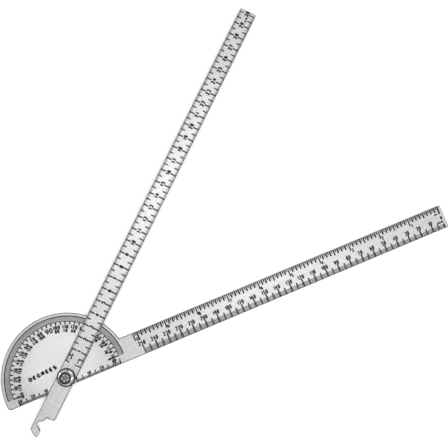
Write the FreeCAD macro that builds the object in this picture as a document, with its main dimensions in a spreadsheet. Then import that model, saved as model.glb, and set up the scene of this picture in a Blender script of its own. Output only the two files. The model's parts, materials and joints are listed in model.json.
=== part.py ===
import FreeCAD, Part
import math
import os

import Sketcher

# Two-arm protractor for drafting and bench work.
#
# A half-round head and a long rule are one steel sheet, the protractor blade. A second steel
# blade swings over it on a stud that is clinched into the head. A plain washer, a disc spring
# and a nylon-insert lock nut hold the swing blade by friction at any angle.
#
# Millimetres. The origin is on the pivot axis, on the back face of the protractor blade.
# +X runs along the rule, +Y towards the crown of the head, +Z out of the marked face.

DRIVING_SIZES = [
    ("head_radius", 47.6, "radius of the half-round head about the pivot"),
    ("base_drop", 6.5, "from the pivot down to the straight base edge"),
    ("rule_rise", 11.35, "from the pivot up to the upper edge of the rule"),
    ("reach", 313.6, "from the pivot to the far end of either arm"),
    ("blade_thickness", 1.5, "protractor blade"),
    ("base_corner_radius", 1.6, "left corner of the base edge"),
    ("root_radius", 0.8, "inner corner where the head meets the rule"),
    ("end_corner_radius", 0.8, "far corners of both arms"),
    ("edge_break", 0.25, "chamfer along every blade outline"),
    ("swing_angle", 41.7, "swing blade above the rule as stored, degrees"),
    ("swing_half_width", 6.6, "half the width of the swing blade"),
    ("swing_thickness", 1.2, "swing blade"),
    ("swing_bore", 6.1, "running hole in the swing blade"),
    ("shoulder_back", 44.6, "pivot to the top of the tail's slanted end"),
    ("tip_back", 48.6, "pivot to the end of the hook"),
    ("tip_drop", 0.4, "centre line down to the hook's lower edge"),
    ("tip_front", 42.2, "pivot to the hook's inner corner"),
    ("throat_rise", 3.9, "centre line up to the top of the throat"),
    ("throat_back", 39.3, "pivot to the rear of the throat's top"),
    ("throat_front", 37.0, "pivot to the front of the throat's top"),
    ("ledge_back", 34.9, "pivot to the rear of the ledge beside the throat"),
    ("step_back", 32.1, "pivot to the step down to full width"),
    ("ledge_drop", 0.3, "centre line down to the ledge at the step"),
    ("throat_radius", 0.9, "corners at the top of the throat"),
    ("shoulder_radius", 3.5, "upper corner of the tail"),
    ("tip_radius", 0.8, "end of the hook"),
    ("heel_radius", 1.3, "lower corner of the step"),
    ("bevel_width", 1.7, "bevel along the hook's lower edge, across"),
    ("bevel_depth", 0.8, "bevel along the hook's lower edge, down"),
    ("stud_diameter", 6.0, "M6 stud"),
    ("stud_length", 10.6, "back face to the stud's end"),
    ("stud_point", 0.3, "chamfer at the stud's end"),
    ("clinch_flats", 8.0, "hexagonal clinch head, across flats"),
    ("clinch_height", 1.0, "hexagonal clinch head, thickness"),
    ("glide_outer", 12.6, "nylon glide washer between the blades"),
    ("glide_inner", 6.2, "its hole"),
    ("glide_thickness", 0.3, "its thickness"),
    ("spring_outer", 14.0, "black disc spring, wider than the washer on it"),
    ("spring_inner", 6.2, "its hole"),
    ("spring_sheet", 0.5, "its sheet thickness"),
    ("spring_height", 0.75, "its overall height under load"),
    ("washer_outer", 12.0, "plain washer for M6"),
    ("washer_inner", 6.4, "its hole"),
    ("washer_thickness", 1.0, "its thickness"),
    ("washer_chamfer", 0.3, "its upper outer edge"),
    ("nut_flats", 10.0, "lock nut, across flats"),
    ("nut_turn", 23.7, "lock nut turned about the pivot, degrees"),
    ("nut_hex_height", 4.2, "hexagonal part of the lock nut"),
    ("nut_height", 6.0, "lock nut with its collar"),
    ("nut_face_radius", 4.9, "round face left by the corner chamfers"),
    ("nut_chamfer_fall", 0.58, "fall of the corner chamfers for each millimetre outwards"),
    ("collar_radius", 4.95, "collar that holds the insert"),
    ("collar_round", 0.4, "rolled-over edge of the collar"),
    ("lip_radius", 4.5, "opening in the rolled-over collar"),
    ("insert_radius", 4.7, "nylon insert, outside"),
    ("insert_floor", 4.0, "nut's base to the underside of the insert"),
    ("insert_height", 1.4, "nylon insert, thickness"),
]

doc = FreeCAD.newDocument("protractor")
sizes = doc.addObject("Spreadsheet::Sheet", "Sizes")
for line, (alias, value, note) in enumerate(DRIVING_SIZES, start=1):
    sizes.set("A%d" % line, note)
    sizes.set("B%d" % line, str(value))
    sizes.setAlias("B%d" % line, alias)
doc.recompute()

TOP_OF_BLADE = "Sizes.blade_thickness"
SWING_BASE = TOP_OF_BLADE + " + Sizes.glide_thickness"
SPRING_BASE = SWING_BASE + " + Sizes.swing_thickness"
WASHER_BASE = SPRING_BASE + " + Sizes.spring_height"
NUT_BASE = WASHER_BASE + " + Sizes.washer_thickness"
CUT_MARGIN = 1.0
WHOLE_TURN = 360.0
SAME_PLACE = 1e-6
AT_CORNER = 0.01

UP = FreeCAD.Vector(0, 0, 1)
ORIGIN_POINT = (-1, 1)
X_AXIS = -1
Y_AXIS = -2

bodies = []


# ---- helpers ------------------------------------------------------------------------------


def new_body(name, height=None, turn=None):
    """A body whose base stands at a height on the pivot axis, turned about that axis."""
    body = doc.addObject("PartDesign::Body", name)
    body.Label = name
    body.Placement = FreeCAD.Placement(FreeCAD.Vector(0, 0, 0), FreeCAD.Rotation(UP, 1.0))
    body.setExpression("Placement.Rotation.Angle", turn if turn else "0")
    if height:
        body.setExpression("Placement.Base.z", height)
    bodies.append(body)
    return body


def new_sketch(body, name, plane="XY_Plane", offset=None):
    """A sketch on one of the body's own origin planes, moved along the plane's normal."""
    sketch = body.newObject("Sketcher::SketchObject", name)
    support = [item for item in body.Origin.OriginFeatures if item.Role == plane][0]
    sketch.AttachmentSupport = [(support, "")]
    sketch.MapMode = "FlatFace"
    if offset:
        sketch.setExpression("AttachmentOffset.Base.z", offset)
    return sketch


def drive(sketch, kind, places, name, formula):
    """Add a dimension to a sketch and bind it to a formula of the driving sizes."""
    value = float(sketch.evalExpression(formula))
    index = sketch.addConstraint(Sketcher.Constraint(kind, *places, value))
    sketch.renameConstraint(index, name)
    sketch.setExpression("Constraints." + name, formula)


def place_point(sketch, curve, end, across, along, name):
    """Hold a curve's end at two formulas; "0" puts it on the sketch's axis."""
    if across == "0":
        sketch.addConstraint(Sketcher.Constraint("PointOnObject", curve, end, Y_AXIS))
    else:
        drive(sketch, "DistanceX", (*ORIGIN_POINT, curve, end), name + "_x", across)
    if along == "0":
        sketch.addConstraint(Sketcher.Constraint("PointOnObject", curve, end, X_AXIS))
    else:
        drive(sketch, "DistanceY", (*ORIGIN_POINT, curve, end), name + "_y", along)


def add_polygon(sketch, corners, prefix="corner"):
    """A closed run of straight lines; each corner is a pair of formulas."""
    points = [
        FreeCAD.Vector(float(sketch.evalExpression(a)), float(sketch.evalExpression(b)), 0)
        for a, b in corners
    ]
    count = len(points)
    lines = [
        sketch.addGeometry(Part.LineSegment(points[i], points[(i + 1) % count]))
        for i in range(count)
    ]
    for i, line in enumerate(lines):
        following = lines[(i + 1) % count]
        sketch.addConstraint(Sketcher.Constraint("Coincident", line, 2, following, 1))
    for i, (across, along) in enumerate(corners):
        place_point(sketch, lines[i], 1, across, along, "%s_%d" % (prefix, i))


def add_circle(sketch, diameter, name):
    """A circle about the pivot."""
    radius = float(sketch.evalExpression(diameter)) / 2
    circle = sketch.addGeometry(Part.Circle(FreeCAD.Vector(0, 0, 0), UP, radius))
    sketch.addConstraint(Sketcher.Constraint("Coincident", circle, 3, *ORIGIN_POINT))
    drive(sketch, "Diameter", (circle,), name, diameter)


def add_hexagon(sketch, flats):
    """A regular hexagon about the pivot, with flats square to X."""
    across = float(sketch.evalExpression(flats))
    corner_radius = across / math.sqrt(3)
    points = [
        FreeCAD.Vector(
            corner_radius * math.cos(math.radians(30 + 60 * i)),
            corner_radius * math.sin(math.radians(30 + 60 * i)),
            0,
        )
        for i in range(6)
    ]
    sides = [sketch.addGeometry(Part.LineSegment(points[i - 1], points[i])) for i in range(6)]
    guide = sketch.addGeometry(Part.Circle(FreeCAD.Vector(0, 0, 0), UP, corner_radius), True)
    sketch.addConstraint(Sketcher.Constraint("Coincident", guide, 3, *ORIGIN_POINT))
    for i, side in enumerate(sides):
        sketch.addConstraint(Sketcher.Constraint("Coincident", side, 2, sides[(i + 1) % 6], 1))
        sketch.addConstraint(Sketcher.Constraint("PointOnObject", side, 1, guide))
    for side in sides[1:]:
        sketch.addConstraint(Sketcher.Constraint("Equal", sides[0], side))
    sketch.addConstraint(Sketcher.Constraint("Vertical", sides[0]))
    drive(sketch, "DistanceX", (*ORIGIN_POINT, sides[0], 1), "half_flats", flats + " / 2")


def add_pad(body, sketch, name, height):
    """Extrude a sketch upwards."""
    pad = body.newObject("PartDesign::Pad", name)
    pad.Profile = sketch
    pad.setExpression("Length", height)
    doc.recompute()


def add_cut(body, kind, sketch, name, **settings):
    """A pocket or groove; it has to take material away. "=" marks a setting as a formula."""
    before = body.Shape.Volume
    cut = body.newObject("PartDesign::" + kind, name)
    cut.Profile = sketch
    for setting, value in settings.items():
        if isinstance(value, str) and value.startswith("="):
            cut.setExpression(setting, value[1:])
        else:
            setattr(cut, setting, value)
    doc.recompute()
    if body.Shape.Volume > before - SAME_PLACE:
        raise RuntimeError("%s takes nothing away from %s" % (name, body.Label))


def add_groove(body, sketch, name):
    """Turn a sketch away all the way round the sketch's own vertical axis."""
    add_cut(body, "Groove", sketch, name, ReferenceAxis=(sketch, ["V_Axis"]), Angle=WHOLE_TURN)


def add_turned(body, sketch, name):
    """Revolve a sketch all the way round the sketch's own vertical axis."""
    turned = body.newObject("PartDesign::Revolution", name)
    turned.Profile = sketch
    turned.ReferenceAxis = (sketch, ["V_Axis"])
    turned.Angle = WHOLE_TURN
    doc.recompute()


def round_corners(body, name, radius, corners):
    """Round the upright edges that stand at the given corners, each a pair of formulas."""
    base = body.Tip
    edges = []
    for across, along in corners:
        x = float(base.evalExpression(across))
        y = float(base.evalExpression(along))
        for number, edge in enumerate(base.Shape.Edges, start=1):
            ends = [vertex.Point for vertex in edge.Vertexes]
            if all(math.hypot(p.x - x, p.y - y) < AT_CORNER for p in ends):
                edges.append("Edge%d" % number)
    if len(edges) != len(corners):
        raise RuntimeError("%s finds %d edges" % (name, len(edges)))
    fillet = body.newObject("PartDesign::Fillet", name)
    fillet.Base = (base, edges)
    fillet.setExpression("Radius", radius)
    doc.recompute()


def round_rim(body, name, radius, rim):
    """Round the circular edge of the given radius at the top of the body."""
    base = body.Tip
    rim_radius = float(base.evalExpression(rim))
    edges = [
        "Edge%d" % number
        for number, edge in enumerate(base.Shape.Edges, start=1)
        if isinstance(edge.Curve, Part.Circle)
        and abs(edge.Curve.Radius - rim_radius) < SAME_PLACE
        and abs(edge.BoundBox.ZMin - base.Shape.BoundBox.ZMax) < SAME_PLACE
    ]
    fillet = body.newObject("PartDesign::Fillet", name)
    fillet.Base = (base, edges)
    fillet.setExpression("Radius", radius)
    doc.recompute()


def break_edges(body, name, size, outer_only=False, top_only=False):
    """Chamfer the outline of the body's top and bottom faces."""
    base = body.Tip
    levels = (base.Shape.BoundBox.ZMin, base.Shape.BoundBox.ZMax)
    wanted = levels[1:] if top_only else levels
    chosen = []
    for face in base.Shape.Faces:
        flat = isinstance(face.Surface, Part.Plane) and face.BoundBox.ZLength < SAME_PLACE
        if not flat or min(abs(face.BoundBox.ZMin - level) for level in wanted) > SAME_PLACE:
            continue
        outline = face.OuterWire.Edges if outer_only else face.Edges
        chosen.extend(edge.hashCode() for edge in outline)
    names = [
        "Edge%d" % number
        for number, edge in enumerate(base.Shape.Edges, start=1)
        if edge.hashCode() in chosen
    ]
    chamfer = body.newObject("PartDesign::Chamfer", name)
    chamfer.Base = (base, names)
    chamfer.setExpression("Size", size)
    doc.recompute()


def ring(name, height, outer, inner, thickness):
    """A flat washer on the pivot axis."""
    body = new_body(name, height)
    sketch = new_sketch(body, name + "_outline")
    add_circle(sketch, outer, "outer_diameter")
    add_circle(sketch, inner, "inner_diameter")
    add_pad(body, sketch, name + "_pad", thickness)
    return body


# ---- protractor blade: head and rule in one sheet ------------------------------------------


def build_protractor_blade():
    body = new_body("protractor_blade")
    outline = new_sketch(body, "blade_outline")
    radius = sizes.get("head_radius")
    rise = sizes.get("rule_rise")
    drop = sizes.get("base_drop")
    reach = sizes.get("reach")
    rule_meets_head = FreeCAD.Vector(math.sqrt(radius**2 - rise**2), rise, 0)
    base_meets_head = FreeCAD.Vector(-math.sqrt(radius**2 - drop**2), -drop, 0)
    lower_end = FreeCAD.Vector(reach, -drop, 0)
    upper_end = FreeCAD.Vector(reach, rise, 0)

    head = outline.addGeometry(
        Part.ArcOfCircle(
            Part.Circle(FreeCAD.Vector(0, 0, 0), UP, radius),
            math.atan2(rule_meets_head.y, rule_meets_head.x),
            math.atan2(base_meets_head.y, base_meets_head.x) + 2 * math.pi,
        )
    )
    base_edge = outline.addGeometry(Part.LineSegment(base_meets_head, lower_end))
    end_edge = outline.addGeometry(Part.LineSegment(lower_end, upper_end))
    upper_edge = outline.addGeometry(Part.LineSegment(upper_end, rule_meets_head))
    around = [(head, 2), (base_edge, 1), (base_edge, 2), (end_edge, 1)]
    around += [(end_edge, 2), (upper_edge, 1), (upper_edge, 2), (head, 1)]
    for first, second in zip(around[0::2], around[1::2]):
        outline.addConstraint(Sketcher.Constraint("Coincident", *first, *second))
    outline.addConstraint(Sketcher.Constraint("Coincident", head, 3, *ORIGIN_POINT))
    outline.addConstraint(Sketcher.Constraint("Horizontal", base_edge))
    outline.addConstraint(Sketcher.Constraint("Vertical", end_edge))
    outline.addConstraint(Sketcher.Constraint("Horizontal", upper_edge))
    drive(outline, "Radius", (head,), "head_radius", "Sizes.head_radius")
    drive(outline, "DistanceY", (*ORIGIN_POINT, end_edge, 2), "rule_rise", "Sizes.rule_rise")
    drive(outline, "DistanceY", (*ORIGIN_POINT, end_edge, 1), "base_drop", "-Sizes.base_drop")
    drive(outline, "DistanceX", (*ORIGIN_POINT, end_edge, 1), "reach", "Sizes.reach")
    add_pad(body, outline, "blade_pad", "Sizes.blade_thickness")

    far_corners = [("Sizes.reach", "Sizes.rule_rise"), ("Sizes.reach", "-Sizes.base_drop")]
    round_corners(body, "far_corners", "Sizes.end_corner_radius", far_corners)
    base_corner = ("-sqrt(Sizes.head_radius^2 - Sizes.base_drop^2)", "-Sizes.base_drop")
    round_corners(body, "base_corner", "Sizes.base_corner_radius", [base_corner])
    root_corner = ("sqrt(Sizes.head_radius^2 - Sizes.rule_rise^2)", "Sizes.rule_rise")
    round_corners(body, "root_corner", "Sizes.root_radius", [root_corner])
    break_edges(body, "blade_edges", "Sizes.edge_break")

    hole = new_sketch(body, "stud_hole_outline")
    add_circle(hole, "Sizes.stud_diameter", "stud_hole_diameter")
    add_cut(body, "Pocket", hole, "stud_hole", Reversed=True, Length="=Sizes.blade_thickness")
    seat = new_sketch(body, "clinch_seat_outline")
    add_hexagon(seat, "Sizes.clinch_flats")
    add_cut(body, "Pocket", seat, "clinch_seat", Reversed=True, Length="=Sizes.clinch_height")


# ---- swing blade with its hooked tail --------------------------------------------------------


def build_swing_blade():
    body = new_body("swing_blade", SWING_BASE, "Sizes.swing_angle")
    half = "Sizes.swing_half_width"
    far_lower = ("Sizes.reach", "-" + half)
    far_upper = ("Sizes.reach", half)
    shoulder = ("-Sizes.shoulder_back", half)
    hook_end = ("-Sizes.tip_back", "-Sizes.tip_drop")
    hook_inner = ("-Sizes.tip_front", "-Sizes.tip_drop")
    throat_rear = ("-Sizes.throat_back", "Sizes.throat_rise")
    throat_front = ("-Sizes.throat_front", "Sizes.throat_rise")
    ledge = ("-Sizes.ledge_back", "Sizes.ledge_drop")
    step = ("-Sizes.step_back", "-Sizes.ledge_drop")
    heel = ("-Sizes.step_back", "-" + half)
    outline = new_sketch(body, "swing_outline")
    corners = [far_lower, far_upper, shoulder, hook_end, hook_inner]
    corners += [throat_rear, throat_front, ledge, step, heel]
    add_polygon(outline, corners)
    add_pad(body, outline, "swing_pad", "Sizes.swing_thickness")

    round_corners(body, "swing_far_corners", "Sizes.end_corner_radius", [far_lower, far_upper])
    round_corners(body, "tail_shoulder", "Sizes.shoulder_radius", [shoulder])
    round_corners(body, "hook_end_corner", "Sizes.tip_radius", [hook_end])
    round_corners(body, "throat_corners", "Sizes.throat_radius", [throat_rear, throat_front])
    round_corners(body, "heel_corner", "Sizes.heel_radius", [heel])
    break_edges(body, "swing_edges", "Sizes.edge_break")

    bore = new_sketch(body, "swing_bore_outline")
    add_circle(bore, "Sizes.swing_bore", "swing_bore_diameter")
    add_cut(body, "Pocket", bore, "swing_bore", Reversed=True, Length="=Sizes.swing_thickness")

    bevel = new_sketch(body, "hook_bevel_outline", "YZ_Plane", "-Sizes.tip_front")
    slope = "Sizes.bevel_depth / Sizes.bevel_width"
    outside = "-Sizes.tip_drop - %g" % CUT_MARGIN
    inside = "-Sizes.tip_drop + Sizes.bevel_width"
    over = "Sizes.swing_thickness + %g * %s" % (CUT_MARGIN, slope)
    under = "Sizes.swing_thickness - Sizes.bevel_depth - %g * %s" % (CUT_MARGIN, slope)
    upper_inside = "-Sizes.tip_drop + Sizes.bevel_width + %g" % CUT_MARGIN
    add_polygon(bevel, [(outside, under), (upper_inside, over), (outside, over)])
    reach_back = "=Sizes.tip_back - Sizes.tip_front + %g" % CUT_MARGIN
    add_cut(body, "Pocket", bevel, "hook_bevel", Length=reach_back)


# ---- pivot stack -----------------------------------------------------------------------------


def build_pivot_stud():
    body = new_body("pivot_stud")
    head = new_sketch(body, "clinch_head_outline")
    add_hexagon(head, "Sizes.clinch_flats")
    add_pad(body, head, "clinch_head", "Sizes.clinch_height")
    shank = new_sketch(body, "shank_outline")
    add_circle(shank, "Sizes.stud_diameter", "shank_diameter")
    add_pad(body, shank, "shank", "Sizes.stud_length")
    break_edges(body, "stud_point", "Sizes.stud_point", top_only=True)


def build_disc_spring():
    body = new_body("disc_spring", SPRING_BASE)
    section = new_sketch(body, "spring_section", "XZ_Plane")
    inner = "Sizes.spring_inner / 2"
    outer = "Sizes.spring_outer / 2"
    rise = "Sizes.spring_height - Sizes.spring_sheet"
    add_polygon(
        section,
        [(outer, "0"), (outer, "Sizes.spring_sheet"), (inner, "Sizes.spring_height"), (inner, rise)],
    )
    add_turned(body, section, "spring_cone")


def build_lock_nut():
    body = new_body("lock_nut", NUT_BASE, "Sizes.nut_turn")
    hexagon = new_sketch(body, "nut_outline")
    add_hexagon(hexagon, "Sizes.nut_flats")
    add_pad(body, hexagon, "nut_hexagon", "Sizes.nut_hex_height")

    clear = "Sizes.nut_flats / 2 + %g" % (2 * CUT_MARGIN)
    face = "Sizes.nut_face_radius"
    top = "Sizes.nut_hex_height"
    fall = "Sizes.nut_chamfer_fall * (%s - %s)" % (clear, face)
    corners = new_sketch(body, "nut_corner_section", "XZ_Plane")
    add_polygon(corners, [(face, top), (clear, top), (clear, top + " - " + fall)], "upper")
    add_polygon(corners, [(face, "0"), (clear, "0"), (clear, fall)], "lower")
    add_groove(body, corners, "nut_corners")

    collar = new_sketch(body, "collar_section", "XZ_Plane")
    wall = "Sizes.collar_radius"
    crown = "Sizes.nut_height"
    neck = "Sizes.stud_diameter / 2"
    buried = top + " - Sizes.collar_round"
    add_polygon(collar, [(neck, buried), (wall, buried), (wall, crown), (neck, crown)])
    add_turned(body, collar, "collar")
    round_rim(body, "collar_rim", "Sizes.collar_round", "Sizes.collar_radius")

    bore = new_sketch(body, "nut_bore_section", "XZ_Plane")
    insert = "Sizes.insert_radius"
    floor = "Sizes.insert_floor"
    ceiling = floor + " + Sizes.insert_height"
    lip = "Sizes.lip_radius"
    add_polygon(
        bore,
        [
            ("0", "0"),
            (neck, "0"),
            (neck, floor),
            (insert, floor),
            (insert, ceiling),
            (lip, ceiling),
            (lip, crown),
            ("0", crown),
        ],
    )
    add_groove(body, bore, "nut_bore")


def build_nylon_insert():
    outer = "2 * Sizes.insert_radius"
    height = NUT_BASE + " + Sizes.insert_floor"
    ring("nylon_insert", height, outer, "Sizes.stud_diameter", "Sizes.insert_height")


def build_washers():
    ring(
        "glide_washer",
        TOP_OF_BLADE,
        "Sizes.glide_outer",
        "Sizes.glide_inner",
        "Sizes.glide_thickness",
    )
    plain = ring(
        "plain_washer",
        WASHER_BASE,
        "Sizes.washer_outer",
        "Sizes.washer_inner",
        "Sizes.washer_thickness",
    )
    break_edges(plain, "washer_edge", "Sizes.washer_chamfer", outer_only=True, top_only=True)


build_protractor_blade()
build_pivot_stud()
build_swing_blade()
build_washers()
build_disc_spring()
build_lock_nut()
build_nylon_insert()
doc.recompute()

# ---- check and write -------------------------------------------------------------------------

for item in doc.Objects:
    if "Invalid" in item.State or "Error" in item.State:
        raise RuntimeError("%s failed: %s" % (item.Label, item.State))
for body in bodies:
    shape = body.Shape
    if shape.isNull() or not shape.isValid() or len(shape.Solids) != 1:
        raise RuntimeError("%s has no sound solid" % body.Label)

os.makedirs("parts", exist_ok=True)
for body in bodies:
    body.Shape.exportStep("parts/%s.step" % body.Label)
    box = body.Shape.BoundBox
    print(
        "%-17s %9.1f mm3   x %.2f..%.2f   y %.2f..%.2f   z %.2f..%.2f"
        % (body.Label, body.Shape.Volume, box.XMin, box.XMax, box.YMin, box.YMax, box.ZMin, box.ZMax)
    )
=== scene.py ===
import json
import math

import bmesh
import bpy
from mathutils import Matrix, Vector


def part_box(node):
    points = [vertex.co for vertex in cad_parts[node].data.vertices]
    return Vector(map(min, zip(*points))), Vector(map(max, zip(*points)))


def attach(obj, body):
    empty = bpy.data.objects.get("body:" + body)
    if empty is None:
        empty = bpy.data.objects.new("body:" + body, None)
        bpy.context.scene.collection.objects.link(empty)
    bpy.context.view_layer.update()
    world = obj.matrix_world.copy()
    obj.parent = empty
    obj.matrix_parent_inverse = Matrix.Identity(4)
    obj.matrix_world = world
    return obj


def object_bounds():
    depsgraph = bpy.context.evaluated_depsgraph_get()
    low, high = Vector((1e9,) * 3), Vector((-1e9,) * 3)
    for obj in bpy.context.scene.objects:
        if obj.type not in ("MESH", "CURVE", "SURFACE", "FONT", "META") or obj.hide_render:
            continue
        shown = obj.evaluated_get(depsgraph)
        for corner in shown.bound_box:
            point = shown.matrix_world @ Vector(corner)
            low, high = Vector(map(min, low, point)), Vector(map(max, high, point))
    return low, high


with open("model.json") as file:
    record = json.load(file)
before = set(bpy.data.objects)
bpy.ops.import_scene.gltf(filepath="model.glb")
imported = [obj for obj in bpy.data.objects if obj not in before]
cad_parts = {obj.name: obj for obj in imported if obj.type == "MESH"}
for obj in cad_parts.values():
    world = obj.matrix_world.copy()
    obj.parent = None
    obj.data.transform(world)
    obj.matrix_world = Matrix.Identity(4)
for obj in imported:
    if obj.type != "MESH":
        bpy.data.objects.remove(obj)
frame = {"nodes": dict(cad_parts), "record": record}
cad_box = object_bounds()

# Two-arm steel protractor on a white table. The blades, stud, washers and nut are the CAD
# nodes with their own materials. The scales are painted marks, thin closed solids that are
# let into the blades by a hair and ride with them.
#
# The frame is in metres. Marks are laid out in millimetres from the pivot, in the plane of
# their blade, x along the blade's length.

MM = 0.001
NODES = frame["nodes"]

# ---- places: from the frame, or the same as in the CAD ----------------------------------------

MOUNTS = {mount["name"]: Vector(mount["pos_m"]) for mount in frame["record"]["mounts"]}
BLADE_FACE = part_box("protractor_blade")[1].z
SWING_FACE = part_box("swing_blade")[1].z
RULE_EDGE = MOUNTS["rule_upper_edge"].y / MM
BASE_EDGE = MOUNTS["base_edge"].y / MM
SWING_HEADING = 41.7     # degrees from the fixed rule, at rest
SWING_ANGLE = math.radians(SWING_HEADING)
SWING_HALF = 6.6         # half the swing blade's width, in millimetres

# ---- scale layout, in millimetres from the pivot -----------------------------------------------

INK_PROUD = 0.03
INK_SUNK = 0.03
SAME_POINT = 1e-6
SHARPEST_MITRE = 0.6     # keeps a sharp bend in a line from growing a long point
TICK_START = 0.15        # from the blade's edge to the foot of a tick

# A tick is (length, width). A label's style is (height, pen, narrow, gap), as add_label says.
# A word is (text, place, style), with a turn in degrees if it isn't level.

# Half-round head: degree marks between two rings, two rows of numbers inside them.
RING_OUTER = 45.2
RING_INNER = 41.2
RING_LONG = 38.95
RING_END = 38.8
RING_OUTER_LINE = 0.76
RING_INNER_LINE = 0.46
RING_FINE = 0.38
RING_BOLD = 1.0
OUTER_NUMBERS = 37.25
INNER_NUMBERS = 34.4
OUTER_STYLE = (2.3, 0.92, 0.80, 1.0)
INNER_STYLE = (2.0, 0.88, 0.75, 0.95)
CROWN_NUMBER = 36.3
CROWN_TURN = -0.8
CROWN_STYLE = (3.1, 1.0, 0.95, 1.2)
HEAD_LABEL = ("DEGREES", (-15.0, 9.3), (2.2, 1.2, 1.35, 1.65), 4)

# Short scale along the base, counted both ways from a gap under the pivot.
BASE_CENTRE = -0.7
BASE_ZERO = 7
BASE_SPANS = {-1: 37, 1: 41}
BASE_LABEL_Y = -3.3
BASE_LABEL_SHIFT = 0.2
BASE_STYLE = (1.9, 0.78, 0.85, 0.9)
BASE_TENS = (1.9, 0.95)
BASE_FIVES = (3.5, 0.85)
BASE_ONES = (1.8, 0.68)
BASE_END = (3.8, 0.95)
BASE_END_GAP = 0.6

# Fixed rule: inches along its upper edge, millimetres along its lower edge, from the far end.
RULE_ZERO = 310.93
PRINT_SLANT = 1.1 / 250  # rise of the printed rows from the far end, a quarter of a degree
INCH = 25.4
INCHES = 10
INCH_LABEL_Y = 4.75
INCH_LABEL_SHIFT = 0.5
INCH_DIGIT_SHIFT = 0.9
INCH_STYLE = (2.3, 0.86, 0.85, 1.0)
INCH_WORD = ("in", (307.6, 5.7), (1.1, 1.15, 1.4, 1.1))
INCH_START = (6.2, 1.5)
WHOLE_INCH = (6.2, 1.05)
HALF_INCH = (4.6, 1.2)
EIGHTH_INCH = (3.9, 1.33)
SIXTEENTH_INCH = (2.4, 0.93)
RULE_MM = 250
RULE_LABEL_Y = 0.80
RULE_LABEL_SHIFT = -0.2
RULE_STYLE = (2.7, 0.88, 0.64, 0.98)
RULE_ZERO_LABEL = ("0", (RULE_ZERO - 0.1, 1.95), (1.7, 1.05, 0.75, 0.7))
RULE_WORD = ("mm", (308.7, -1.35), (1.2, 0.95, 1.8, 1.0))
RULE_TICK_DROP = 0.55
RULE_LAST = (6.4, 0.90)
RULE_TENS = (6.2, 1.2)
RULE_FIVES = (5.2, 1.1)
RULE_ONES = (3.6, 0.53)
RULE_START = (3.5, 1.3)

# Swing blade: millimetres along both edges, centimetre numbers down the middle. A tick here is
# (upper length, lower length, width), apart from the half millimetres, which are upper only.
SWING_ZERO = 11.0
SWING_LENGTH = 300
SWING_HALF_MARKS = 9
SWING_ENDS = (3.5, 5.0, 0.90)
SWING_TENS = (4.3, 4.7, 1.1)
SWING_FIVES = (3.5, 3.8, 1.0)
SWING_ONES = (1.8, 1.8, 0.38)
SWING_HALVES = (1.5, 0.30)
SWING_LABEL_Y = 0.05
SWING_STYLE = (2.45, 1.1, 0.87, 1.25)
SWING_WORDS = [
    ("mm", (SWING_ZERO + 4.6, 3.0), (1.1, 0.7, 1.75, 0.9)),
    ("cm", (SWING_ZERO + 3.3, -2.8), (1.1, 0.7, 1.35, 0.9)),
    ("cm", (SWING_ZERO + SWING_LENGTH - 4.5, -1.2), (1.2, 1.05, 1.3, 1.1)),
]

# ---- finishes: tones are linear reflectance, lengths are in metres -----------------------------

NOISE_LOW = 0.3          # where a noise node's values mostly lie
NOISE_HIGH = 0.7
RULE_TONE = 0.49
SWING_TONE = 0.545
EDGE_SHADE = 0.03         # painted shade: near-black tone of the blades' sides and of a band beside their edges
EDGE_REACH = 0.0010      # how far a bevel node looks for an edge
EDGE_SAMPLES = 8
EDGE_AGREEMENT = (0.955, 0.998)  # of that node's normal with the face's: full band, no band
STEEL_TINT = 0.006
FACE_SPREAD = (0.86, 1.13)  # darkest and lightest, as shares of the tone
GRAIN_STRETCH = (45, 5200, 900)
STREAK_STRETCH = (14, 900, 200)
SMUDGE_SCALE = 26.0
MOTTLE_SCALE = 620.0
GRAIN_SHARE = 0.10       # how far each noise moves the tone, of the way from darkest to lightest
STREAK_SHARE = 0.16
SMUDGE_SPAN = (0.40, 0.60)
MOTTLE_SHARE = 0.45
BLADE_FLAT = (0.72, 0.97)  # how far a face looks up or down: slope's colour, face's colour (the slope's colour is painted shade on blades and plate, painted highlight on the stud)
PLATE_FLAT = (0.75, 0.97)
STUD_FLAT = (0.90, 0.98)
# A lighter round patch on the head, about the pivot.
HEAD_BRIGHT_PATCH = ((0.001, 0.011, BLADE_FACE), 0.042, 0.665)  # middle, radius, tone
BRIGHT_PATCH_SPREAD = (0.93, 1.06)
BRIGHT_PATCH_CORE = 0.35       # share of the patch's radius that has its full brightness
PLATE_TONE = 0.80
# Painted shade: tone of the nut's and plain washer's sloped and upright faces.
PLATE_SLOPE_SHADE = 0.12
STUD_END_DARK = 0.13
STUD_END_LIGHT = 0.24
# Painted highlight: tone of the stud's flanks and chamfer.
STUD_FLANK_HIGHLIGHT = 0.55
# Painted highlights: bright specks round the rim of the stud's end.
RIM_GLINTS = 5
RIM_GLINT_RADIUS = 0.0023
RIM_GLINT_BLUR = 0.0003
RIM_GLINT_TONE = 0.62
INK_GLOSS = 0.25
SPRING_GLOSS = 0.25
NATURAL_DARK = (0.78, 0.77, 0.72, 1)
NATURAL_LIGHT = (0.86, 0.85, 0.8, 1)

# ---- table, light and camera, in metres and watts ----------------------------------------------

TABLE_REACH = 30.0
TABLE_DROP = 0.00005
TABLE_TONES = (0.93, 0.95)
# Sky: the sine of the angle above the horizon, and the brightness there.
TENT_STOPS = [(0.0, 0.40), (0.3, 0.40), (0.6, 0.85), (0.8, 1.0), (1.0, 1.0)]
# Lights beside the part: name, place from the middle of its back, diameter, power.
SIDE_LIGHTS = [
    ("key_softbox", (1.0, -0.9, 1.1), 0.6, 17.0),
    ("fill_softbox", (-1.1, 0.9, 1.1), 1.0, 14.0),
]
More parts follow.
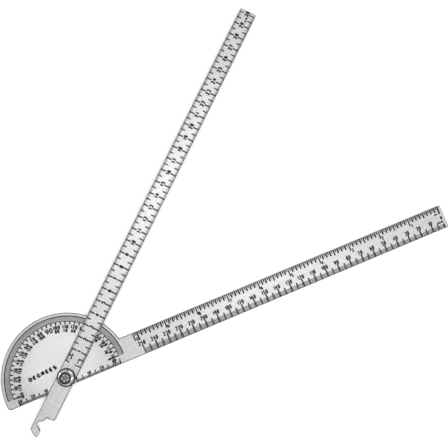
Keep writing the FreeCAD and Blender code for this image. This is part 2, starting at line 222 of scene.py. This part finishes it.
# The light above it: name, place, target, diameter, power.
OVERHEAD_LIGHT = ("overhead_softbox", (0.337, 0.167, 1.5), (0.16, 0.06, 0.0), 0.36, 1.42)
CAMERA_PLACE = (0.082912, 0.015134, 0.653676)
CAMERA_AIM = (0.152103, 0.061281, BLADE_FACE)
CAMERA_HEADING = math.radians(-22.152)  # where the picture's right-hand side points
CAMERA_LENS = 69.198     # millimetres, like the sensor
CAMERA_SENSOR = 36.0
CAMERA_CLIP = 0.01


# ---- helpers: closed meshes for painted marks ---------------------------------------------------


def plane_of(body):
    """The matrix that carries a layout in millimetres onto the marked face of a body's blade."""
    shrink = Matrix.Scale(MM, 4)
    if body == "swing_arm":
        lift = Matrix.Translation((0, 0, SWING_FACE))
        return lift @ Matrix.Rotation(SWING_ANGLE, 4, "Z") @ shrink
    return Matrix.Translation((0, 0, BLADE_FACE)) @ shrink


def finish_piece(name, bm, body, material):
    """Turn a bmesh laid out in a blade's plane into a piece that rides with that blade."""
    bmesh.ops.transform(bm, matrix=plane_of(body), verts=bm.verts)
    bmesh.ops.recalc_face_normals(bm, faces=bm.faces)
    mesh = bpy.data.meshes.new(name)
    bm.to_mesh(mesh)
    bm.free()
    piece = bpy.data.objects.new(name, mesh)
    bpy.context.scene.collection.objects.link(piece)
    piece.data.materials.append(material)
    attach(piece, body)


def add_ribbon(bm, points, width):
    """A painted line of even width through a list of points, a loop if it ends where it began."""
    line = [Vector(point) for point in points]
    loop = (line[0] - line[-1]).length < SAME_POINT
    if loop:
        line.pop()
    count = len(line)
    sections = []
    for i, point in enumerate(line):
        before = line[i - 1] if loop or i > 0 else point
        after = line[(i + 1) % count] if loop or i < count - 1 else point
        arriving = (point - before).normalized()
        leaving = (after - point).normalized()
        along = (arriving + leaving).normalized()
        straightness = max(along.dot(arriving), along.dot(leaving), SHARPEST_MITRE)
        across = Vector((-along.y, along.x)) * (width / 2 / straightness)
        left, right = point + across, point - across
        corners = (
            (left.x, left.y, -INK_SUNK),
            (right.x, right.y, -INK_SUNK),
            (right.x, right.y, INK_PROUD),
            (left.x, left.y, INK_PROUD),
        )
        sections.append([bm.verts.new(corner) for corner in corners])
    for i in range(count if loop else count - 1):
        near, far = sections[i], sections[(i + 1) % count]
        for k in range(4):
            j = (k + 1) % 4
            bm.faces.new((near[k], far[k], far[j], near[j]))
    if not loop:
        bm.faces.new(sections[0])
        bm.faces.new(list(reversed(sections[-1])))


def bend(x, y, wide, tall, first, last, steps=10):
    """Points along an ellipse about (x, y), between two angles in degrees."""
    angles = [math.radians(first + (last - first) * i / steps) for i in range(steps + 1)]
    return [(x + wide * math.cos(a), y + tall * math.sin(a)) for a in angles]


# Characters as pen lines, one unit tall, standing on the origin.
LETTERS = {
    "0": [bend(0.3, 0.5, 0.3, 0.5, 90, 450, 14)],
    "1": [[(0.06, 0.76), (0.3, 1)], [(0.3, 1), (0.3, 0)]],
    "2": [bend(0.3, 0.7, 0.28, 0.3, 165, -35) + [(0.02, 0)], [(0.02, 0), (0.6, 0)]],
    "3": [bend(0.28, 0.76, 0.26, 0.24, 150, -90), bend(0.28, 0.27, 0.3, 0.27, 90, -150)],
    "4": [[(0.46, 0), (0.46, 1)], [(0.46, 1), (0, 0.32)], [(0, 0.32), (0.64, 0.32)]],
    "5": [[(0.56, 1), (0.1, 1)], [(0.1, 1), (0.06, 0.56)], bend(0.28, 0.32, 0.3, 0.32, 135, -145)],
    "6": [bend(0.6, 0.3, 0.6, 0.7, 180, 105), bend(0.3, 0.3, 0.3, 0.3, 0, 360, 12)],
    "7": [[(0, 1), (0.6, 1)], [(0.6, 1), (0.2, 0)]],
    "8": [bend(0.3, 0.76, 0.24, 0.24, 0, 360, 12), bend(0.3, 0.27, 0.3, 0.27, 0, 360, 12)],
    "9": [bend(0, 0.7, 0.6, 0.7, 0, -75), bend(0.3, 0.7, 0.3, 0.3, 0, 360, 12)],
    "c": [bend(0.3, 0.33, 0.3, 0.33, 50, 310)],
    "i": [[(0, 0), (0, 0.62)], [(0, 0.84), (0, 1)]],
    "m": [
        [(0, 0), (0, 0.66)],
        bend(0.2, 0.42, 0.2, 0.24, 180, 0) + [(0.4, 0)],
        bend(0.6, 0.42, 0.2, 0.24, 180, 0) + [(0.8, 0)],
    ],
    "n": [[(0, 0), (0, 0.66)], bend(0.22, 0.4, 0.22, 0.26, 180, 0) + [(0.44, 0)]],
    "D": [[(0, 0), (0, 1)], [(0, 1)] + bend(0.2, 0.5, 0.38, 0.5, 90, -90) + [(0, 0)]],
    "E": [[(0, 0), (0, 1)], [(0, 1), (0.5, 1)], [(0, 0.5), (0.42, 0.5)], [(0, 0), (0.5, 0)]],
    "G": [
        bend(0.34, 0.5, 0.34, 0.5, 50, 320),
        [(0.36, 0.42), (0.64, 0.42)],
        [(0.64, 0.42), (0.64, 0.12)],
    ],
    "R": [
        [(0, 0), (0, 1)],
        [(0, 1)] + bend(0.3, 0.74, 0.25, 0.26, 90, -90) + [(0, 0.48)],
        [(0.28, 0.48), (0.58, 0)],
    ],
    "S": [bend(0.28, 0.75, 0.26, 0.25, 40, 270), bend(0.28, 0.25, 0.28, 0.25, 90, -140)],
}


def add_label(bm, text, at, style, turn=0.0):
    """Painted characters centred on a point and turned in degrees.

    The style is the height between the middles of the top and bottom strokes, the stroke's
    width, how much the letters are narrowed, and the gap between the middles of neighbouring
    strokes of two letters.
    """
    height, pen, narrow, gap = style
    reaches = [max(x for line in LETTERS[letter] for x, _ in line) for letter in text]
    widths = [reach * height * narrow for reach in reaches]
    start = -(sum(widths) + gap * (len(text) - 1)) / 2
    tall = max(y for letter in text for line in LETTERS[letter] for _, y in line) * height
    turned = Matrix.Rotation(math.radians(turn), 2)
    for letter, width in zip(text, widths):
        for line in LETTERS[letter]:
            placed = [Vector((start + x * height * narrow, y * height - tall / 2)) for x, y in line]
            add_ribbon(bm, [Vector(at) + turned @ point for point in placed], pen)
        start += width + gap


def add_tick(bm, foot, tip, width):
    """A straight painted stroke between two points."""
    add_ribbon(bm, [foot, tip], width)


def polar(radius, degrees):
    """A point in the head's plane."""
    angle = math.radians(degrees)
    return (radius * math.cos(angle), radius * math.sin(angle))


# ---- materials -------------------------------------------------------------------------------


class Nodes:
    """A short way to write a material's node tree."""

    def __init__(self, name):
        self.material = bpy.data.materials.new(name)
        self.material.use_nodes = True
        self.tree = self.material.node_tree
        self.shader = self.tree.nodes["Principled BSDF"]

    def add(self, kind, inputs=None, **settings):
        node = self.tree.nodes.new(kind)
        for key, value in settings.items():
            setattr(node, key, value)
        for key, value in (inputs or {}).items():
            if isinstance(value, bpy.types.NodeSocket):
                self.tree.links.new(value, node.inputs[key])
            else:
                node.inputs[key].default_value = value
        return node

    def set(self, **inputs):
        for key, value in inputs.items():
            socket = self.shader.inputs[key.replace("_", " ").title().replace("Ior", "IOR")]
            if isinstance(value, bpy.types.NodeSocket):
                self.tree.links.new(value, socket)
            else:
                socket.default_value = value

    def noise(self, vector, scale, detail=2.0, roughness=0.5):
        node = self.add(
            "ShaderNodeTexNoise",
            {"Vector": vector, "Scale": scale, "Detail": detail, "Roughness": roughness},
        )
        return node.outputs["Fac"]

    def remap(self, value, low, high, to_low, to_high):
        node = self.add(
            "ShaderNodeMapRange",
            {
                "Value": value,
                "From Min": low,
                "From Max": high,
                "To Min": to_low,
                "To Max": to_high,
            },
        )
        return node.outputs["Result"]

    def spread(self, noise, to_low, to_high):
        """A noise's usual values stretched over a range."""
        return self.remap(noise, NOISE_LOW, NOISE_HIGH, to_low, to_high)

    def blend(self, factor, first, second):
        node = self.add("ShaderNodeMix", data_type="RGBA")
        sockets = (node.inputs[0], node.inputs[6], node.inputs[7])
        for socket, value in zip(sockets, (factor, first, second)):
            if isinstance(value, bpy.types.NodeSocket):
                self.tree.links.new(value, socket)
            else:
                socket.default_value = value
        return node.outputs[2]

    def math(self, operation, first, second):
        node = self.add("ShaderNodeMath", {0: first, 1: second}, operation=operation)
        return node.outputs[0]

    def bump(self, height, strength, distance):
        node = self.add(
            "ShaderNodeBump", {"Height": height, "Strength": strength, "Distance": distance}
        )
        return node.outputs["Normal"]


def upward(m):
    """How far a face looks up or down: one when level, nothing when upright."""
    normal = m.add("ShaderNodeNewGeometry").outputs["True Normal"]
    vertical = m.add("ShaderNodeSeparateXYZ", {"Vector": normal}).outputs["Z"]
    return m.math("ABSOLUTE", vertical, 0.0)


def grey(value, tint=0.0):
    """A near-neutral colour; a positive tint leans blue."""
    return (value * (1 - tint), value, value * (1 + tint), 1.0)


def length_of(m, vector):
    node = m.add("ShaderNodeVectorMath", {0: vector}, operation="LENGTH")
    return node.outputs["Value"]


def patch_mask(m, place, middle, radius):
    """One at a point of the blade, fading to nothing at a radius, in metres."""
    offset = m.add("ShaderNodeVectorMath", {0: place, 1: middle}, operation="SUBTRACT")
    node = m.add(
        "ShaderNodeMapRange",
        {
            "Value": length_of(m, offset.outputs[0]),
            "From Min": radius * BRIGHT_PATCH_CORE,
            "From Max": radius,
            "To Min": 1.0,
            "To Max": 0.0,
        },
        interpolation_type="SMOOTHSTEP",
    )
    return node.outputs["Result"]


def flat_radius(m, place):
    """Distance from the pivot's axis, taken level."""
    flat = m.add("ShaderNodeVectorMath", {0: place, 1: (1, 1, 0)}, operation="MULTIPLY")
    return length_of(m, flat.outputs[0])


def dark_edge(m):
    """Mask of the painted edge shade: one close beside a blade's edges, nothing further in."""
    rounded = m.add("ShaderNodeBevel", {"Radius": EDGE_REACH}, samples=EDGE_SAMPLES)
    actual = m.add("ShaderNodeNewGeometry").outputs["True Normal"]
    normals = {0: rounded.outputs["Normal"], 1: actual}
    agreement = m.add("ShaderNodeVectorMath", normals, operation="DOT_PRODUCT")
    return m.remap(agreement.outputs["Value"], *EDGE_AGREEMENT, 1.0, 0.0)


def along_blade(m, place, heading, stretch):
    """Coordinates turned to a blade's heading in degrees, then stretched."""
    turn = {"Vector": place, "Rotation": (0, 0, math.radians(-heading))}
    turned = m.add("ShaderNodeMapping", turn).outputs["Vector"]
    return m.add("ShaderNodeMapping", {"Vector": turned, "Scale": stretch}).outputs["Vector"]


def tone_pair(tone, spread):
    """The darkest and lightest colour of a steel, about its tone."""
    low, high = spread
    return grey(tone * low, STEEL_TINT), grey(tone * high, STEEL_TINT)


def face_colours(m, place, bright, bright_patch):
    """The darkest and lightest colour of a blade's face, lighter inside the bright patch."""
    darker, lighter = tone_pair(bright, FACE_SPREAD)
    if bright_patch:
        middle, radius, patch_tone = bright_patch
        patch = patch_mask(m, place, middle, radius)
        patch_darker, patch_lighter = tone_pair(patch_tone, BRIGHT_PATCH_SPREAD)
        darker = m.blend(patch, darker, patch_darker)
        lighter = m.blend(patch, lighter, patch_lighter)
    return darker, lighter


def brushed_steel(name, heading, bright, shade_tone, bright_patch=None):
    """Satin sheet with grain along a heading, with painted shade in a band beside its edges and on
    its sloped sides.

    The bright patch is a lighter round patch: its middle, its radius and its brightness.
    """
    m = Nodes(name)
    place = m.add("ShaderNodeTexCoord").outputs["Object"]
    grain = m.noise(along_blade(m, place, heading, GRAIN_STRETCH), 1.0, detail=3.0, roughness=0.6)
    streaks = m.noise(along_blade(m, place, heading, STREAK_STRETCH), 1.0, detail=2.0)
    smudges = m.noise(place, SMUDGE_SCALE, detail=3.0, roughness=0.55)
    mottle = m.noise(place, MOTTLE_SCALE, detail=2.0, roughness=0.6)
    grain_part = m.spread(grain, -GRAIN_SHARE, GRAIN_SHARE)
    streak_part = m.spread(streaks, -STREAK_SHARE, STREAK_SHARE)
    tone = m.math("ADD", grain_part, streak_part)
    tone = m.math("ADD", tone, m.spread(smudges, *SMUDGE_SPAN))
    tone = m.math("ADD", tone, m.spread(mottle, -MOTTLE_SHARE, MOTTLE_SHARE))
    darker, lighter = face_colours(m, place, bright, bright_patch)
    # Painted shade: the band beside the edges and the sloped faces take the near-black shade tone.
    face = m.blend(dark_edge(m), m.blend(tone, darker, lighter), grey(shade_tone))
    flatness = m.remap(upward(m), *BLADE_FLAT, 0.0, 1.0)
    m.set(
        base_color=m.blend(flatness, grey(shade_tone), face),
        metallic=1.0,
        roughness=m.remap(m.math("ADD", grain, smudges), 0.7, 1.3, 0.30, 0.40),
        normal=m.bump(grain, strength=0.12, distance=0.00002),
    )
    return m.material


def black_oxide(name):
    """Near-black spring steel, a little rubbed; the near-black is painted shade, for the dark ring
    round the washer.
    """
    m = Nodes(name)
    place = m.add("ShaderNodeTexCoord").outputs["Object"]
    wear = m.noise(place, 700.0, detail=3.0, roughness=0.6)
    # Painted shade: the spring's near-black tone.
    m.set(
        base_color=m.blend(wear, grey(0.030), grey(0.060)),
        roughness=m.spread(wear, 0.45, 0.6),
        normal=m.bump(wear, strength=0.1, distance=0.00002),
    )
    m.shader.inputs["Specular IOR Level"].default_value = SPRING_GLOSS
    return m.material


def plated_steel(name, bright):
    """Bright zinc plate with a faint orange-peel and small patches of lower tone; its sloped and
    upright faces take a dark tone that is painted shade.
    """
    m = Nodes(name)
    place = m.add("ShaderNodeTexCoord").outputs["Object"]
    patches = m.noise(place, 420.0, detail=3.0, roughness=0.6)
    peel = m.noise(place, 1800.0, detail=2.0)
    flatness = m.remap(upward(m), *PLATE_FLAT, 0.0, 1.0)
    face = m.blend(patches, grey(bright * 0.92, -0.01), grey(bright, 0.01))
    # Painted shade: sloped and upright faces take the dark slope tone.
    m.set(
        base_color=m.blend(flatness, grey(PLATE_SLOPE_SHADE), face),
        metallic=1.0,
        roughness=m.spread(patches, 0.17, 0.27),
        normal=m.bump(peel, strength=0.15, distance=0.00003),
    )
    return m.material


def punched_rim(m, place):
    """One on the small painted highlights round the rim of the stud's upper end."""
    axes = m.add("ShaderNodeSeparateXYZ", {"Vector": place}).outputs
    angle = m.math("ARCTAN2", axes["Y"], axes["X"])
    wave = m.math("SINE", m.math("MULTIPLY", angle, RIM_GLINTS), 0.0)
    ring = m.remap(flat_radius(m, place), RIM_GLINT_RADIUS - RIM_GLINT_BLUR, RIM_GLINT_RADIUS, 0.0, 1.0)
    marks = m.math("MULTIPLY", ring, m.remap(wave, 0.2, 0.6, 0.0, 1.0))
    upper_end = m.remap(axes["Z"], SWING_FACE, SWING_FACE + MM, 0.0, 1.0)
    return m.math("MULTIPLY", marks, upper_end)


def stud_steel(name):
    """Cut stud: a darker parted-off end face with turning rings; the much lighter flanks and
    chamfer are a painted highlight.
    """
    m = Nodes(name)
    place = m.add("ShaderNodeTexCoord").outputs["Object"]
    rings = m.add(
        "ShaderNodeTexWave",
        {"Vector": place, "Scale": 420.0, "Distortion": 1.5, "Detail": 2.0},
        wave_type="RINGS",
        rings_direction="Z",
    ).outputs["Fac"]
    specks = m.noise(place, 900.0, detail=4.0, roughness=0.6)
    end_face = m.remap(upward(m), *STUD_FLAT, 0.0, 1.0)
    turning = m.math("MULTIPLY", rings, specks)
    end_colour = m.blend(turning, grey(STUD_END_DARK), grey(STUD_END_LIGHT))
    end_colour = m.blend(punched_rim(m, place), end_colour, grey(RIM_GLINT_TONE))
    # Painted highlight: the flanks and chamfer take the light flank tone.
    m.set(
        base_color=m.blend(end_face, grey(STUD_FLANK_HIGHLIGHT), end_colour),
        metallic=1.0,
        roughness=m.spread(specks, 0.34, 0.5),
        normal=m.bump(rings, strength=0.2, distance=0.00003),
    )
    return m.material


def nylon(name, dark, light, scale, gloss):
    """Moulded nylon with slight mottling."""
    m = Nodes(name)
    place = m.add("ShaderNodeTexCoord").outputs["Object"]
    mottle = m.noise(place, scale, detail=3.0)
    m.set(
        base_color=m.blend(mottle, dark, light),
        roughness=m.spread(mottle, 0.42, 0.58),
        normal=m.bump(m.noise(place, scale * 5, detail=2.0), strength=0.1, distance=0.00003),
    )
    m.shader.inputs["Specular IOR Level"].default_value = gloss
    return m.material


def scale_ink(name):
    """Black fill in the etched marks, slightly worn and uneven."""
    m = Nodes(name)
    place = m.add("ShaderNodeTexCoord").outputs["Object"]
    wear = m.noise(place, 900.0, detail=4.0, roughness=0.6)
    m.set(
        base_color=m.blend(m.remap(wear, 0.35, 0.75, 0.0, 1.0), grey(0.008), grey(0.028)),
        roughness=m.spread(wear, 0.5, 0.7),
        normal=m.bump(wear, strength=0.1, distance=0.00002),
    )
    m.shader.inputs["Specular IOR Level"].default_value = INK_GLOSS
    return m.material


INK = scale_ink("scale_ink")


# ---- scales on the protractor blade ------------------------------------------------------------


def make_ring_lines():
    lines = bmesh.new()
    add_ribbon(lines, bend(0, 0, RING_OUTER, RING_OUTER, 0, 180, 180), RING_OUTER_LINE)
    add_ribbon(lines, bend(0, 0, RING_INNER, RING_INNER, 0, 180, 180), RING_INNER_LINE)
    finish_piece("degree_ring_lines", lines, "protractor", INK)


def make_degree_ticks():
    ticks = bmesh.new()
    for degree in range(181):
        add_tick(ticks, polar(RING_OUTER, degree), polar(RING_INNER, degree), RING_FINE)
    for degree in range(0, 181, 5):
        tip = RING_END if degree in (0, 180) else RING_LONG
        add_tick(ticks, polar(RING_INNER, degree), polar(tip, degree), RING_BOLD)
    finish_piece("degree_ticks", ticks, "protractor", INK)


def make_degree_numbers():
    """Two rows counted in opposite directions, with one larger 90 at the crown."""
    numbers = bmesh.new()
    for degree in range(0, 181, 10):
        turn = degree - 90
        if degree == 90:
            crown = polar(CROWN_NUMBER, degree + CROWN_TURN)
            add_label(numbers, "90", crown, CROWN_STYLE, turn)
            continue
        outer = polar(OUTER_NUMBERS, degree)
        inner = polar(INNER_NUMBERS, degree)
        add_label(numbers, str(180 - degree), outer, OUTER_STYLE, turn)
        add_label(numbers, str(degree), inner, INNER_STYLE, turn)
    finish_piece("degree_numbers", numbers, "protractor", INK)


def make_base_scale():
    """Marks under the pivot, counted outwards to both sides and closed by a longer one."""
    ticks = bmesh.new()
    numbers = bmesh.new()
    foot = BASE_EDGE + TICK_START
    for side, span in BASE_SPANS.items():
        for step in range(BASE_ZERO, span + 1):
            x = BASE_CENTRE + side * step
            count = step - BASE_ZERO
            length, width = BASE_ONES
            if count % 10 == 0:
                length, width = BASE_TENS
                add_label(numbers, str(count), (x + BASE_LABEL_SHIFT, BASE_LABEL_Y), BASE_STYLE)
            elif count % 5 == 0:
                length, width = BASE_FIVES
            add_tick(ticks, (x, foot), (x, foot + length), width)
        length, width = BASE_END
        x = BASE_CENTRE + side * (span + BASE_END_GAP)
        add_tick(ticks, (x, foot), (x, foot + length), width)
    finish_piece("base_scale_ticks", ticks, "protractor", INK)
    finish_piece("base_scale_numbers", numbers, "protractor", INK)


def inch_tick(sixteenth):
    if sixteenth == 0:
        return INCH_START
    if sixteenth % 16 == 0:
        return WHOLE_INCH
    if sixteenth % 8 == 0:
        return HALF_INCH
    if sixteenth % 2 == 0:
        return EIGHTH_INCH
    return SIXTEENTH_INCH


def make_inch_scale():
    ticks = bmesh.new()
    numbers = bmesh.new()
    foot = RULE_EDGE - TICK_START
    for sixteenth in range(16 * INCHES + 1):
        x = RULE_ZERO - sixteenth * INCH / 16
        length, width = inch_tick(sixteenth)
        add_tick(ticks, (x, foot), (x, foot - length), width)
    for inch in range(1, INCHES + 1):
        text = str(inch)
        x = RULE_ZERO - inch * INCH + INCH_LABEL_SHIFT + INCH_DIGIT_SHIFT * len(text)
        y = INCH_LABEL_Y + PRINT_SLANT * inch * INCH
        add_label(numbers, text, (x, y), INCH_STYLE)
    add_label(numbers, *INCH_WORD)
    finish_piece("inch_scale_ticks", ticks, "protractor", INK)
    finish_piece("inch_scale_numbers", numbers, "protractor", INK)


def millimetre_tick(step):
    """Length and width of a mark; between the first and the last, the tips climb with the print."""
    if step == 0:
        return RULE_START
    if step == RULE_MM:
        return RULE_LAST
    length, width = RULE_ONES
    if step % 10 == 0:
        length, width = RULE_TENS
    elif step % 5 == 0:
        length, width = RULE_FIVES
    length += PRINT_SLANT * step - RULE_TICK_DROP
    return length, width


def make_millimetre_scale():
    ticks = bmesh.new()
    numbers = bmesh.new()
    foot = BASE_EDGE + TICK_START
    for step in range(RULE_MM + 1):
        x = RULE_ZERO - step
        length, width = millimetre_tick(step)
        add_tick(ticks, (x, foot), (x, foot + length), width)
    for step in range(10, RULE_MM + 1, 10):
        x = RULE_ZERO - step + RULE_LABEL_SHIFT
        y = RULE_LABEL_Y + PRINT_SLANT * step
        add_label(numbers, str(step), (x, y), RULE_STYLE)
    add_label(numbers, *RULE_ZERO_LABEL)
    add_label(numbers, *RULE_WORD)
    finish_piece("millimetre_scale_ticks", ticks, "protractor", INK)
    finish_piece("millimetre_scale_numbers", numbers, "protractor", INK)


def make_head_label():
    label = bmesh.new()
    add_label(label, *HEAD_LABEL)
    finish_piece("head_label", label, "protractor", INK)


# ---- scales on the swing blade -----------------------------------------------------------------


def swing_tick(step):
    if step in (0, SWING_LENGTH):
        return SWING_ENDS
    if step % 10 == 0:
        return SWING_TENS
    if step % 5 == 0:
        return SWING_FIVES
    return SWING_ONES


def make_swing_scale():
    ticks = bmesh.new()
    numbers = bmesh.new()
    foot = SWING_HALF - TICK_START
    for step in range(SWING_LENGTH + 1):
        x = SWING_ZERO + step
        upper, lower, width = swing_tick(step)
        add_tick(ticks, (x, foot), (x, foot - upper), width)
        add_tick(ticks, (x, -foot), (x, lower - foot), width)
    for step in range(SWING_HALF_MARKS):
        x = SWING_ZERO + step + 0.5
        length, width = SWING_HALVES
        add_tick(ticks, (x, foot), (x, foot - length), width)
    for centimetre in range(1, SWING_LENGTH // 10 + 1):
        place = (SWING_ZERO + 10 * centimetre, SWING_LABEL_Y)
        add_label(numbers, str(centimetre), place, SWING_STYLE)
    for word in SWING_WORDS:
        add_label(numbers, *word)
    finish_piece("swing_scale_ticks", ticks, "swing_arm", INK)
    finish_piece("swing_scale_numbers", numbers, "swing_arm", INK)


# ---- finishes on the CAD nodes -------------------------------------------------------------------


def finish_nodes():
    """Give every CAD node its material; the nut and the plain washer share one."""
    nylon_dark = nylon("black_nylon", grey(0.008), grey(0.015), scale=700.0, gloss=0.2)
    nylon_light = nylon("natural_nylon", NATURAL_DARK, NATURAL_LIGHT, scale=500.0, gloss=0.5)
    plate = plated_steel("bright_plate", PLATE_TONE)
    finishes = {
        "protractor_blade": brushed_steel("rule_steel", 0.0, RULE_TONE, EDGE_SHADE, HEAD_BRIGHT_PATCH),
        "swing_blade": brushed_steel("swing_steel", SWING_HEADING, SWING_TONE, EDGE_SHADE),
        "pivot_stud": stud_steel("stud_steel"),
        "lock_nut": plate,
        "plain_washer": plate,
        "disc_spring": black_oxide("black_oxide"),
        "nylon_insert": nylon_dark,
        "glide_washer": nylon_light,
    }
    for name, material in finishes.items():
        mesh = NODES[name].data
        mesh.materials.clear()
        mesh.materials.append(material)


# ---- table, light and camera --------------------------------------------------------------------


def make_table():
    """A white table top, a hair below the part."""
    mesh = bpy.data.meshes.new("table_top")
    quarters = ((-1, -1), (1, -1), (1, 1), (-1, 1))
    corners = [(x * TABLE_REACH, y * TABLE_REACH, -TABLE_DROP) for x, y in quarters]
    mesh.from_pydata(corners, [], [(0, 1, 2, 3)])
    table = bpy.data.objects.new("table_top", mesh)
    bpy.context.scene.collection.objects.link(table)
    m = Nodes("table_white")
    place = m.add("ShaderNodeTexCoord").outputs["Object"]
    darker, lighter = TABLE_TONES
    m.set(
        base_color=m.blend(m.noise(place, 3.0), grey(darker), grey(lighter)),
        roughness=0.9,
    )
    table.data.materials.append(m.material)


def make_world():
    """A light tent: bright overhead, dimmer towards the horizon."""
    world = bpy.data.worlds.new("light_tent")
    bpy.context.scene.world = world
    world.use_nodes = True
    tree = world.node_tree
    height = tree.nodes.new("ShaderNodeSeparateXYZ")
    coordinates = tree.nodes.new("ShaderNodeTexCoord")
    tree.links.new(coordinates.outputs["Generated"], height.inputs[0])
    ramp = tree.nodes.new("ShaderNodeValToRGB")
    tree.links.new(height.outputs["Z"], ramp.inputs["Fac"])
    elements = ramp.color_ramp.elements
    while len(elements) < len(TENT_STOPS):
        elements.new(0.5)
    for element, (position, level) in zip(elements, TENT_STOPS):
        element.position = position
        element.color = (level, level, level, 1)
    tree.links.new(ramp.outputs["Color"], tree.nodes["Background"].inputs["Color"])
    tree.nodes["Background"].inputs["Strength"].default_value = 1.0


def add_softbox(name, place, target, size, power):
    """A round area light at one point, aimed at another."""
    light = bpy.data.lights.new(name, "AREA")
    light.shape = "DISK"
    light.size = size
    light.energy = power
    holder = bpy.data.objects.new(name, light)
    holder.location = place
    holder.rotation_mode = "QUATERNION"
    holder.rotation_quaternion = (Vector(target) - Vector(place)).to_track_quat("-Z", "Y")
    bpy.context.scene.collection.objects.link(holder)


def make_lights():
    middle = (cad_box[0] + cad_box[1]) / 2
    target = (middle.x, middle.y, 0.0)
    for name, (x, y, z), size, power in SIDE_LIGHTS:
        add_softbox(name, (middle.x + x, middle.y + y, z), target, size, power)
    add_softbox(*OVERHEAD_LIGHT)


def make_camera():
    """Nearly overhead, turned so that the fixed rule climbs to the right of the picture."""
    place = Vector(CAMERA_PLACE)
    forward = (Vector(CAMERA_AIM) - place).normalized()
    level = Vector((math.cos(CAMERA_HEADING), math.sin(CAMERA_HEADING), 0))
    right = (level - level.dot(forward) * forward).normalized()
    up = right.cross(forward)
    camera = bpy.data.cameras.new("camera")
    camera.lens = CAMERA_LENS
    camera.sensor_width = CAMERA_SENSOR
    camera.clip_start = CAMERA_CLIP
    holder = bpy.data.objects.new("camera", camera)
    turn = Matrix((right, up, -forward)).transposed()
    holder.matrix_world = Matrix.Translation(place) @ turn.to_4x4()
    bpy.context.scene.collection.objects.link(holder)
    bpy.context.scene.camera = holder


make_camera()
make_world()
make_lights()
make_table()
finish_nodes()
make_ring_lines()
make_degree_ticks()
make_degree_numbers()
make_base_scale()
make_inch_scale()
make_millimetre_scale()
make_head_label()
make_swing_scale()
bpy.context.scene.view_settings.view_transform = "Standard"
